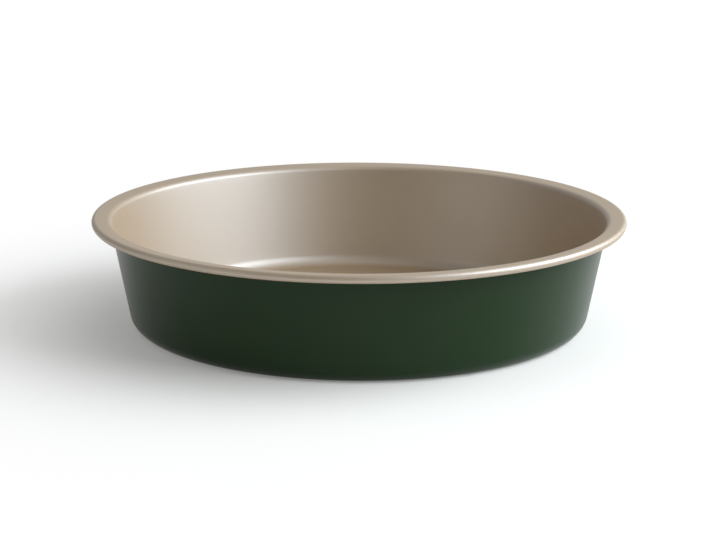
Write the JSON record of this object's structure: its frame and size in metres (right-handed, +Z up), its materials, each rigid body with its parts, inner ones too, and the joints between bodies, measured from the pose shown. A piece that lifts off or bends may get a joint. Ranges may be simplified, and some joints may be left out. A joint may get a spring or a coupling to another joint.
{
  "type": "round cake tin",
  "caption": "Round cake tin with a flat base, rounded base corner, flaring wall, turned-out flange and rolled bead; satin champagne inside, dark green outside.",
  "frame": {"origin": "centre of the underside of the base, on the surface that the tin stands on", "axes": "+Z up along the tin's axis, out of its mouth; the tin is round, so +X and +Y are alike"},
  "size_m": [0.26, 0.26, 0.054],
  "materials": {
    "bare_steel": "satin",
    "champagne_nonstick": "satin",
    "green_enamel": "satin",
    "wire_steel": "satin"
  },
  "bodies": {
    "root": {"steel_pan": "bare_steel", "nonstick_lining": "champagne_nonstick", "outer_coat": "green_enamel", "rim_wire": "wire_steel"}
  },
  "joints": []
}
